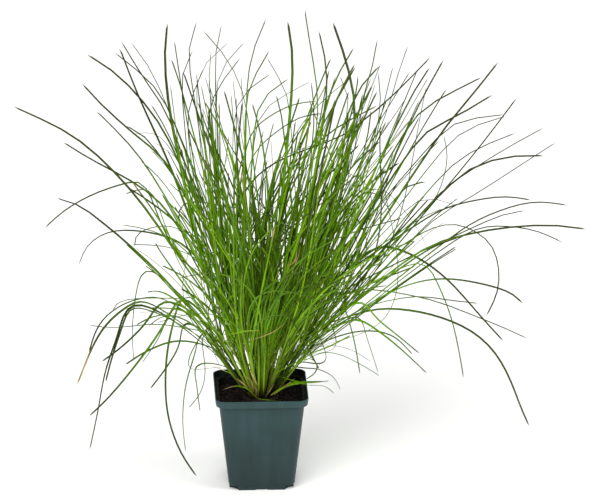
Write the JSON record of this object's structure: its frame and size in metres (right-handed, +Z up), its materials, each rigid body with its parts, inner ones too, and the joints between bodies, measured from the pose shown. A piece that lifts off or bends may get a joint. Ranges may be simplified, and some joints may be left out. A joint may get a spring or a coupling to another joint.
{
  "type": "potted ornamental grass clump",
  "caption": "Fountain-shaped clump of narrow arching grass leaves growing from a root crown in a small square tapered nursery pot of dark peat.",
  "frame": {"origin": "middle of the pot's flat foot pad, on the surface that the pot stands on", "axes": "+Z up; +X along the widest spread of the leaves, to the right as the picture sees it; the side in the picture faces -Y"},
  "size_m": [0.5453, 0.4592, 0.4708],
  "materials": {
    "pot_plastic": "satin moulded",
    "peat": "matte crumbly",
    "old_sheaths": "matte fibrous",
    "leaf": "satin, veined along its length"
  },
  "bodies": {
    "root": {"pot": "pot_plastic", "potting_soil": "peat", "root_crown": "old_sheaths", "shoot_01": "leaf", "shoot_02": "leaf", "shoot_03": "leaf", "shoot_04": "leaf", "shoot_05": "leaf", "shoot_06": "leaf", "shoot_07": "leaf", "shoot_08": "leaf", "shoot_09": "leaf", "shoot_10": "leaf", "shoot_11": "leaf", "shoot_12": "leaf", "shoot_13": "leaf", "shoot_14": "leaf", "shoot_15": "leaf", "shoot_16": "leaf", "shoot_17": "leaf", "shoot_18": "leaf", "shoot_19": "leaf", "shoot_20": "leaf", "shoot_21": "leaf", "shoot_22": "leaf", "shoot_23": "leaf", "shoot_24": "leaf", "shoot_25": "leaf", "shoot_26": "leaf", "shoot_27": "leaf", "shoot_28": "leaf", "shoot_29": "leaf", "shoot_30": "leaf", "shoot_31": "leaf", "shoot_32": "leaf", "shoot_33": "leaf", "shoot_34": "leaf", "shoot_35": "leaf", "shoot_36": "leaf", "shoot_37": "leaf", "shoot_38": "leaf", "shoot_39": "leaf", "shoot_40": "leaf", "shoot_41": "leaf", "shoot_42": "leaf", "shoot_43": "leaf", "shoot_44": "leaf", "shoot_45": "leaf", "shoot_46": "leaf", "shoot_47": "leaf", "shoot_48": "leaf", "shoot_49": "leaf", "shoot_50": "leaf", "shoot_51": "leaf", "shoot_52": "leaf", "shoot_53": "leaf", "shoot_54": "leaf", "shoot_55": "leaf", "shoot_56": "leaf", "shoot_57": "leaf"}
  },
  "joints": []
}
